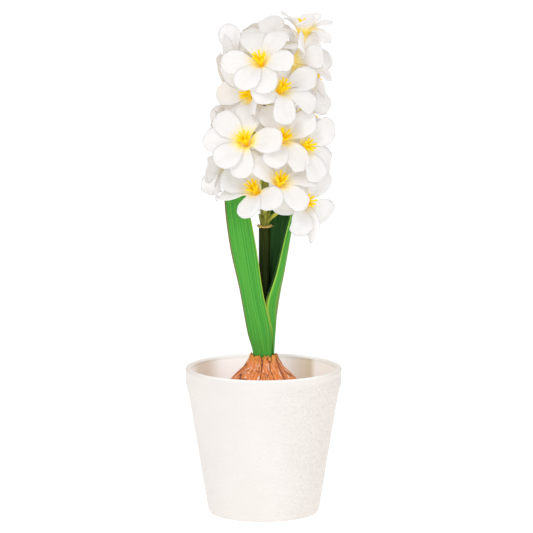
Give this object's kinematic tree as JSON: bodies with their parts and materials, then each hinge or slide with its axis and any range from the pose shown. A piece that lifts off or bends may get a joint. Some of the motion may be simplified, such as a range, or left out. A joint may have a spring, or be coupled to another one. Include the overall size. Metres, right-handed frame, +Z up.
{
  "type": "hyacinth flower",
  "caption": "White hyacinth in flower: a spike of waxy florets with yellow stamens on a stem, with strap leaves, growing from a bulb in a tapered cream pot.",
  "frame": {"origin": "centre of the pot's foot, on the surface that it stands on", "axes": "+Z up the pot's axis; -Y is the side that faces the room, with the left leaf in front; +X to that side's right"},
  "size_m": [0.0896, 0.0896, 0.2887],
  "materials": {
    "pot": "satin, finely pebbled",
    "soil": "crumbly, matt",
    "bulb": "papery, cracked",
    "leaf": "satin, veined",
    "stem": "satin",
    "collar": "torn, matt",
    "stalk": "satin",
    "petal": "soft, finely veined",
    "stamen": "satin"
  },
  "bodies": {
    "root": {"pot": "pot", "potting_soil": "soil", "bulb": "bulb", "stem": "stem", "stem_collar": "collar", "flower_stalk": "stalk", "leaf_left": "leaf", "leaf_right": "leaf", "floret_01_petals": "petal", "floret_01_stamens": "stamen", "floret_02_petals": "petal", "floret_02_stamens": "stamen", "floret_03_petals": "petal", "floret_03_stamens": "stamen", "floret_04_petals": "petal", "floret_04_stamens": "stamen", "floret_05_petals": "petal", "floret_05_stamens": "stamen", "floret_06_petals": "petal", "floret_06_stamens": "stamen", "floret_07_petals": "petal", "floret_07_stamens": "stamen", "floret_08_petals": "petal", "floret_08_stamens": "stamen", "floret_09_petals": "petal", "floret_09_stamens": "stamen", "floret_10_petals": "petal", "floret_10_stamens": "stamen", "floret_11_petals": "petal", "floret_11_stamens": "stamen", "floret_12_petals": "petal", "floret_12_stamens": "stamen", "floret_13_petals": "petal", "floret_13_stamens": "stamen", "floret_14_petals": "petal", "floret_14_stamens": "stamen", "floret_15_petals": "petal", "floret_15_stamens": "stamen", "floret_16_petals": "petal", "floret_16_stamens": "stamen", "floret_17_petals": "petal", "floret_17_stamens": "stamen", "floret_18_petals": "petal", "floret_18_stamens": "stamen", "floret_19_petals": "petal", "floret_19_stamens": "stamen", "floret_20_petals": "petal", "floret_20_stamens": "stamen", "floret_21_petals": "petal", "floret_21_stamens": "stamen", "floret_22_petals": "petal", "floret_22_stamens": "stamen", "floret_23_petals": "petal", "floret_23_stamens": "stamen", "floret_24_petals": "petal", "floret_24_stamens": "stamen", "floret_25_petals": "petal", "floret_25_stamens": "stamen", "floret_26_petals": "petal", "floret_26_stamens": "stamen"}
  },
  "joints": []
}
